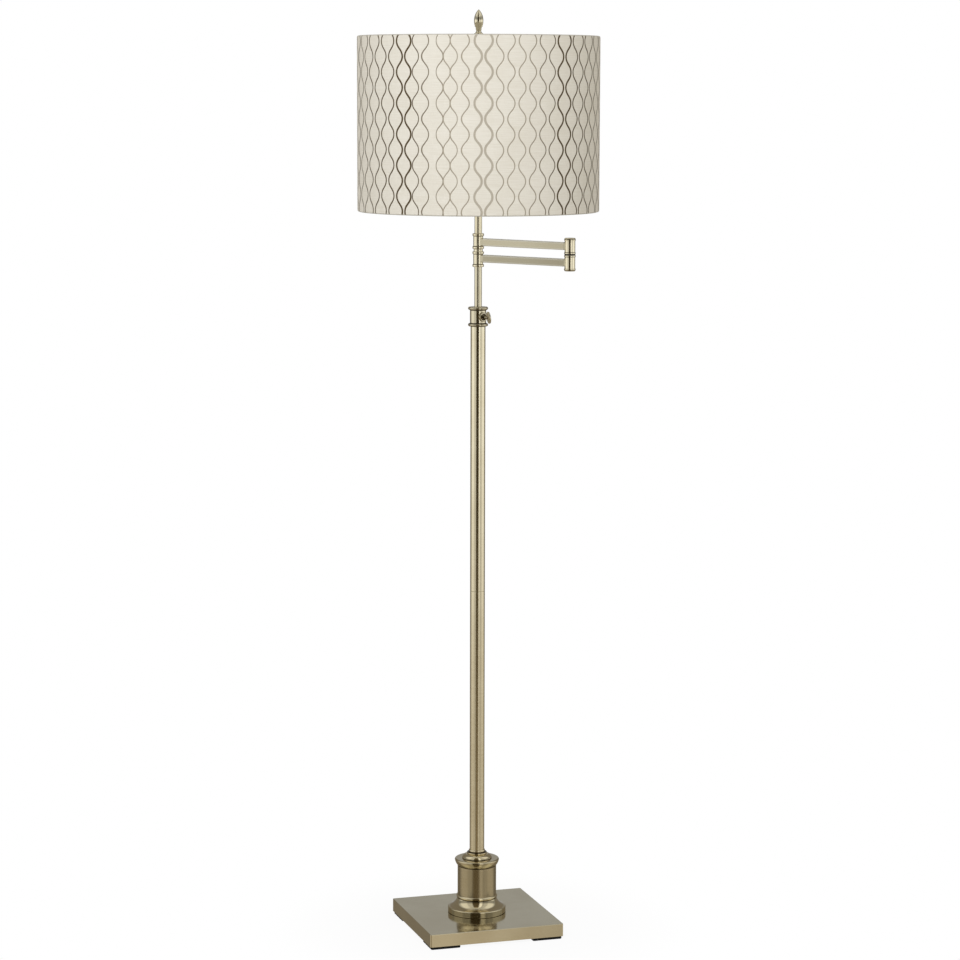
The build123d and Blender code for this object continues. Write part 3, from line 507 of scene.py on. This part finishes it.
# Brass finishes, piece by piece
onPole = turnedWays((0.0, 0.0, 0.0))
onElbow = turnedWays((elbowMiddle.x, elbowMiddle.y, 0.0))
turned = {"ways": onPole, "relief": 0.02, "streak": (0.2, 0.004)}
pedestal = {**turned, "cast": brass["pedestalTint"]}
arms = {"ways": armWays, "relief": 0.05, "streak": (0.06, 0.0024)}
brassLooks = {
    "turnedBrass": turned,
    "footBrass": {**pedestal, "roughness": 0.1, "shade": 0.9, "dark": footGrooves},
    "barrelBrass": {
        **pedestal, "roughness": 0.22, "relief": 0.05, "shade": 0.62, "streak": (0.3, 0.002),
        "dark": barrelGrooves,
    },
    "rimBrass": {**pedestal, "roughness": 0.15, "shade": 0.8, "dark": barrelGrooves},
    "domeBrass": {**pedestal, "roughness": 0.1, "shade": 0.9, "dark": domeGrooves},
    "elbowBrass": {**turned, "ways": onElbow, "dark": elbowGrooves},
    "spoolBrass": {**turned, "dark": spoolGrooves},
    "collarBrass": {**turned, "shade": 0.84, "dark": collarGrooves},
    "mastBrass": {**turned, "shade": 0.86},
    "plateBrass": {"ways": plateWays, "roughness": 0.13, "relief": 0.15, "shade": 0.9},
    "upperArmBrass": {**arms, "shade": 1.04, "worn": armHighlights("upper_arm")},
    # the lower arm is the same brass dimmed: painted shade under the upper arm
    "lowerArmBrass": {**arms, "shade": 0.8, "worn": armHighlights("lower_arm")},
    "screwBrass": {"ways": onPole, "roughness": 0.2, "relief": 0.05, "shade": 0.75, "dark": paintedDishShade},
    "polishedBrass": {"ways": onPole, "roughness": 0.14},
}


# Other finishes: a fine grain over soft clouds
grainSpec = {"detail": 4.0, "roughness": 0.6, "cloudSize": 12, "roughnessSpread": 0.2, "relief": 0.5}


def grainy(name, dark, pale, scale, roughness, depth, **sockets):
    material, desk, shader = newFinish(name, **sockets)
    spot = desk.join(*desk.place())
    grain = desk.noise(spot, scale, grainSpec["detail"], grainSpec["roughness"])
    cloud = desk.noise(spot, scale / grainSpec["cloudSize"])
    desk.plug(shader["Base Color"], desk.mix(grain * 0.5 + cloud * 0.5, dark, pale))
    desk.plug(shader["Roughness"], roughness + (grain - 0.5) * grainSpec["roughnessSpread"])
    bump = desk.add("Bump", {"Height": grain, "Strength": grainSpec["relief"], "Distance": depth})
    desk.plug(shader["Normal"], bump)
    return material


grainyLooks = {
    "castIron": {
        "dark": (0.02, 0.02, 0.02, 1), "pale": (0.07, 0.07, 0.07, 1),
        "scale": 600, "roughness": 0.7, "depth": 0.0006,
    },
    "zincSteel": {
        "dark": (0.35, 0.35, 0.36, 1), "pale": (0.6, 0.6, 0.6, 1),
        "scale": 900, "roughness": 0.35, "depth": 0.0001, "Metallic": 1.0,
    },
    "footRubber": {
        "dark": (0.006, 0.006, 0.006, 1), "pale": (0.02, 0.02, 0.02, 1),
        "scale": 1200, "roughness": 0.75, "depth": 0.0002, "Specular_IOR_Level": 0.08,
    },
    "blackPlastic": {
        "dark": (0.012, 0.011, 0.01, 1), "pale": (0.03, 0.028, 0.026, 1),
        "scale": 1500, "roughness": 0.5, "depth": 0.0001,
    },
    "linerSheet": {
        "dark": (0.72, 0.70, 0.65, 1), "pale": (0.82, 0.80, 0.75, 1),
        "scale": 500, "roughness": 0.55, "depth": 0.0001,
    },
    "socketCard": {
        "dark": (0.16, 0.10, 0.05, 1), "pale": (0.32, 0.22, 0.12, 1),
        "scale": 700, "roughness": 0.85, "depth": 0.0002,
    },
    "rolledAluminium": {
        "dark": (0.62, 0.62, 0.63, 1), "pale": (0.8, 0.8, 0.81, 1),
        "scale": 500, "roughness": 0.3, "depth": 0.0001, "Metallic": 1.0,
    },
    "frostedGlass": {
        "dark": (0.86, 0.86, 0.84, 1), "pale": (0.95, 0.95, 0.93, 1),
        "scale": 300, "roughness": 0.45, "depth": 0.00005, "Transmission_Weight": 0.35,
    },
}
finishes = {name: brushedBrass(name, **look) for name, look in brassLooks.items()}
finishes |= {name: grainy(name, **look) for name, look in grainyLooks.items()}
slotFinish = {
    "brushed_brass": "turnedBrass",
    "polished_brass": "polishedBrass",
    "cast_iron": "castIron",
    "steel": "zincSteel",
    "foot_rubber": "footRubber",
    "black_plastic": "blackPlastic",
    "shade_fabric": "linerSheet",
    "shade_liner": "linerSheet",
    "socket_card": "socketCard",
    "aluminium": "rolledAluminium",
    "bulb_glass": "frostedGlass",
}
nodeFinish = {
    "base_cover": "plateBrass",
    "pedestal_foot": "footBrass",
    "pedestal_barrel": "barrelBrass",
    "pedestal_rim": "rimBrass",
    "pedestal_dome": "domeBrass",
    "height_collar": "collarBrass",
    "thumb_screw": "screwBrass",
    "inner_pole": "mastBrass",
    "lower_arm_collar": "spoolBrass",
    "upper_arm_collar": "spoolBrass",
    "lower_arm": "lowerArmBrass",
    "upper_arm": "upperArmBrass",
    "lower_elbow": "elbowBrass",
    "upper_elbow": "elbowBrass",
    "elbow_bottom_cap": "elbowBrass",
    "elbow_top_cap": "elbowBrass",
}
for subpart in frame["record"]["subparts"]:
    name = subpart["node"]
    finish = finishes[nodeFinish.get(name, slotFinish[subpart["material_slot"]])]
    nodes[name].data.materials.clear()
    nodes[name].data.materials.append(finish)
print("finishes laid on", len(nodes), "pieces")


# Shade cloth: ivory, with stitched wave lines that run down it side by side
cloth = {
    "thickness": 0.0006,
    "rollWidth": 0.0056,  # of the hem, rolled over the ring
    "rollSteps": 6,
    "tuck": 0.004,  # flat end of the hem, inside the shade
    "rounds": 256,  # sides of the drum
    "smoothAngle": 40,  # degrees
    "ivory": (0.80, 0.755, 0.665, 1.0),
    "slub": (0.74, 0.69, 0.59, 1.0),
    "paleThread": (0.36, 0.31, 0.235, 1.0),
    "darkThread": (0.075, 0.046, 0.015, 1.0),
    "hemShade": (0.52, 0.49, 0.42, 1.0),  # painted shade along the two rolled edges
    "hemReach": (0.0006, 0.0024),
    "pitch": 0.01779,  # from line to line
    "lead": 0.00084,  # from the front to the first line
    "slowSway": (0.00228, 0.4, -1.51),  # uneven spacing: how far, turns to a line, start
    "quickSway": (0.00655, 1.5, 0.94),
    "quickPlace": (-3.5, 2.5),  # the quick one is strongest at this line, and reaches this many beside it
    "wave": 0.0060,  # how far a line swings from its middle
    "period": 0.0500,
    "bulge": 0.0107,  # from the shade's edge down to the first wide place
    "flatten": 0.03,
    "repeat": 24,  # lines from one pale pair to the next
    "darkLine": 8,  # lines from a pale pair to the dark pair each side of it
    "darkReach": (1.0, 4.5),  # lines from the dark pair over which the thread pales
    "lineWidth": 0.0018,
    "paleWidth": 0.0037,
    "darkWidth": 0.0032,
    "betweenWidth": 0.0025,  # of the dark lines between two dark pairs
    "edge": 0.0005,  # over which a line blurs into the ground
    "stitch": 0.0013,  # from stitch to stitch
    "stitchSlant": 0.8,
    "stitchShine": 0.04,
    "paleShine": 0.5,  # more of it on the pale pair
    "slubRate": (25, 700),  # slubs to a metre, along the cloth and up it
    "slubShare": 0.75,  # of the ground's tone, the rest is cloudy
    "slubSpread": (0.35, 0.65),
    "cloudScale": 9.0,
    "weave": 0.0006,  # from thread to thread
    "relief": 0.6,
    "reliefDepth": 0.0003,
    "stitchRelief": 0.3,
    "slubRelief": 0.25,
    "weaveRelief": 0.06,
    "surface": {
        "Roughness": 0.8, "Specular_IOR_Level": 0.25, "Sheen_Weight": 0.06, "Sheen_Roughness": 0.4,
    },
}


def lineCount(arc):
    # how many lines lie between the front and here, and how much closer than the pitch they lie
    count = arc / cloth["pitch"]
    slowReach, slowRate, slowStart = cloth["slowSway"]
    quickReach, quickRate, quickStart = cloth["quickSway"]
    quickMiddle, quickSpread = cloth["quickPlace"]
    slowTurn = count * slowRate + slowStart
    quickTurn = count * quickRate + quickStart
    away = (count - quickMiddle) / quickSpread
    fade = (0 - away * away).run("EXPONENT") * quickReach
    slow = slowTurn.run("SINE") * slowReach
    quick = quickTurn.run("SINE") * fade
    slowSlope = slowTurn.run("COSINE") * (slowReach * slowRate)
    quickLean = quickTurn.run("COSINE") * quickRate - quickTurn.run("SINE") * away * (2 / quickSpread)
    phase = count - (slow + quick + cloth["lead"]) / cloth["pitch"]
    closeness = 1 - (slowSlope + quickLean * fade) / cloth["pitch"]
    return phase, closeness


def waveSwing(drop):
    # a cosine with its crests a little flattened, and how much narrower its slope makes a gap
    theta = drop * (2 * pi / cloth["period"])
    flat = cloth["flatten"]
    swing = cloth["wave"] / (1 - flat)
    wave = (theta.run("COSINE") - (theta * 3).run("COSINE") * flat) * swing
    bend = (theta * 3).run("SINE") * (3 * flat) - theta.run("SINE")
    steep = bend * (swing * 2 * pi / cloth["period"])
    return wave, 1 / (steep * steep + 1).run("SQRT")


def nearestLine(arc, drop):
    # how far away the nearest line is, and how many lines it is from a pale pair's middle
    phase, closeness = lineCount(arc)
    wave, leaning = waveSwing(drop)
    column = phase.run("FLOOR")
    inside = phase - column
    mirrorSide = 1 - (column % 2) * 2
    bow = wave * mirrorSide * closeness / cloth["pitch"]
    leftGap = abs(inside + bow)
    rightGap = abs(1 + bow - inside)
    line = (column + (rightGap < leftGap) - 0.5) % cloth["repeat"]
    gap = leftGap.run("MINIMUM", rightGap) / closeness * leaning * cloth["pitch"]
    return gap, cloth["repeat"] / 2 - abs(line - cloth["repeat"] / 2)


def shadeClothFinish(radius, low, top):
    material, desk, shader = newFinish("shadeCloth", **cloth["surface"])
    x, y, z = desk.place()
    ahead = x * toCamera.x + y * toCamera.y
    aside = x * toRight.x + y * toRight.y
    arc = aside.run("ARCTAN2", ahead) * radius
    gap, fromPale = nearestLine(arc, top - cloth["bulge"] - z)
    fromDark = cloth["darkLine"] - fromPale
    isPale = fromPale < 1
    isDark = abs(fromDark) < 1
    isBetween = fromDark < -1
    width = (
        cloth["lineWidth"]
        + isPale * (cloth["paleWidth"] - cloth["lineWidth"])
        + isDark * (cloth["darkWidth"] - cloth["lineWidth"])
        + isBetween * (cloth["betweenWidth"] - cloth["lineWidth"])
    )
    thread = desk.soften((width / 2 - gap) / cloth["edge"], -0.5, 0.5)
    # thread colour deepens from the pale pair to the dark pair, satin stitches lie slanted across it with a
    # painted sheen on them
    depth = 1 - desk.soften(fromDark, *cloth["darkReach"])
    slant = z + gap * cloth["stitchSlant"]
    stitches = (slant * (2 * pi / cloth["stitch"])).run("SINE") * 0.5 + 0.5
    threadColour = desk.mix(depth, cloth["paleThread"], cloth["darkThread"])
    shine = stitches * (cloth["stitchShine"] + isPale * cloth["paleShine"])
    litThread = desk.mix(shine, threadColour, cloth["slub"])
    # ground: fine weave with a silky slub along it
    slubAlong, slubUp = cloth["slubRate"]
    slub = desk.noise(desk.join(arc * slubAlong, z * slubUp, 0.0), detail=3.0, roughness=0.6)
    cloud = desk.noise(desk.join(arc, z, 0.0), cloth["cloudScale"])
    weft = (z * (2 * pi / cloth["weave"])).run("SINE")
    warp = (arc * (2 * pi / cloth["weave"])).run("SINE")
    blotches = slub * cloth["slubShare"] + cloud * (1 - cloth["slubShare"])
    ground = desk.mix(desk.soften(blotches, *cloth["slubSpread"]), cloth["slub"], cloth["ivory"])
    # painted shade along both rolled edges
    hem = 1 - desk.soften((top - z).run("MINIMUM", z - low), *cloth["hemReach"])
    desk.plug(shader["Base Color"], desk.mix(hem, desk.mix(thread, ground, litThread), cloth["hemShade"]))
    raisedThread = thread * (stitches * cloth["stitchRelief"] + (1 - cloth["stitchRelief"]))
    raised = raisedThread + slub * cloth["slubRelief"] + weft * warp * cloth["weaveRelief"]
    sockets = {"Height": raised, "Strength": cloth["relief"], "Distance": cloth["reliefDepth"]}
    desk.plug(shader["Normal"], desk.add("Bump", sockets))
    return material


def shadeOutline(radius, low, top):
    # radius and height along the cloth, from its lower tuck over both hems to its upper tuck
    rollRadius = cloth["rollWidth"] / 2
    middle = radius - rollRadius
    turns = [pi * step / cloth["rollSteps"] for step in range(cloth["rollSteps"] + 1)]
    lower = [(middle - rollRadius * cos(turn), low + rollRadius - rollRadius * sin(turn)) for turn in turns]
    upper = [(middle + rollRadius * cos(turn), top - rollRadius + rollRadius * sin(turn)) for turn in turns]
    lowTuck = (middle - rollRadius, low + rollRadius + cloth["tuck"])
    highTuck = (middle - rollRadius, top - rollRadius - cloth["tuck"])
    return [lowTuck, *lower, *upper, highTuck]


clothLow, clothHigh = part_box("shade_fabric")
shadeRadius = clothHigh.x
wallHeight = clothHigh.z - clothLow.z
outline = shadeOutline(shadeRadius, clothLow.z, clothHigh.z)
startRadius, startHeight = outline[0]
deselect()
bpy.ops.mesh.primitive_circle_add(
    vertices=cloth["rounds"], radius=startRadius, location=(0, 0, startHeight),
)
shadeCloth = bpy.context.object
shadeCloth.name = "shade_cloth"
bpy.ops.object.transform_apply(location=True)
openEdit()
for (radius, height), (nextRadius, nextHeight) in zip(outline, outline[1:]):
    bpy.ops.mesh.extrude_edges_move(TRANSFORM_OT_translate={"value": (0, 0, nextHeight - height)})
    grow = nextRadius / radius
    bpy.ops.transform.resize(value=(grow, grow, 1), center_override=(0, 0, nextHeight))
closeEdit()
thick = shadeCloth.modifiers.new("thickness", "SOLIDIFY")
thick.thickness = cloth["thickness"]
thick.offset = -1
bpy.ops.object.modifier_apply(modifier="thickness")
bpy.ops.object.shade_smooth_by_angle(angle=radians(cloth["smoothAngle"]))
shadeCloth.data.materials.append(shadeClothFinish(shadeRadius, clothLow.z, clothHigh.z))
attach(shadeCloth, "shade")
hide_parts("shade_fabric")
print("shade cloth made")


# Back seam: the end of the cloth, folded under and glued down over its start
seam = {
    "width": 0.013,
    "lift": 0.0006,  # above the cloth
    "sink": 0.0003,  # into it
    "hemGap": 0.003,  # left free at each hem
    "steps": 6,
    "edge": 0.0002,
    "edgeSteps": 2,
}
seamTurn = seam["width"] / shadeRadius
seamHeading = headingTurn + pi / 2 - seamTurn / 2
seamMiddle = shadeRadius + (seam["lift"] - seam["sink"]) / 2
seamHeight = (clothLow.z + clothHigh.z) / 2
deselect()
bpy.ops.mesh.primitive_plane_add(size=1, rotation=(pi / 2, 0, seamHeading))
shadeSeam = bpy.context.object
shadeSeam.name = "shade_seam"
shadeSeam.scale = (seam["lift"] + seam["sink"], wallHeight - 2 * seam["hemGap"], 1)
shadeSeam.location = (cos(seamHeading) * seamMiddle, sin(seamHeading) * seamMiddle, seamHeight)
bpy.ops.object.transform_apply(location=True, rotation=True, scale=True)
openEdit()
bpy.ops.mesh.spin(steps=seam["steps"], angle=seamTurn, center=(0, 0, 0), axis=(0, 0, 1))
closeEdit()
edgeRound = shadeSeam.modifiers.new("edgeRound", "BEVEL")
edgeRound.width = seam["edge"]
edgeRound.segments = seam["edgeSteps"]
edgeRound.limit_method = "ANGLE"
bpy.ops.object.modifier_apply(modifier="edgeRound")
bpy.ops.object.shade_smooth_by_angle(angle=radians(cloth["smoothAngle"]))
shadeSeam.data.materials.append(shadeCloth.data.materials[0])
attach(shadeSeam, "shade")
print("back seam made")
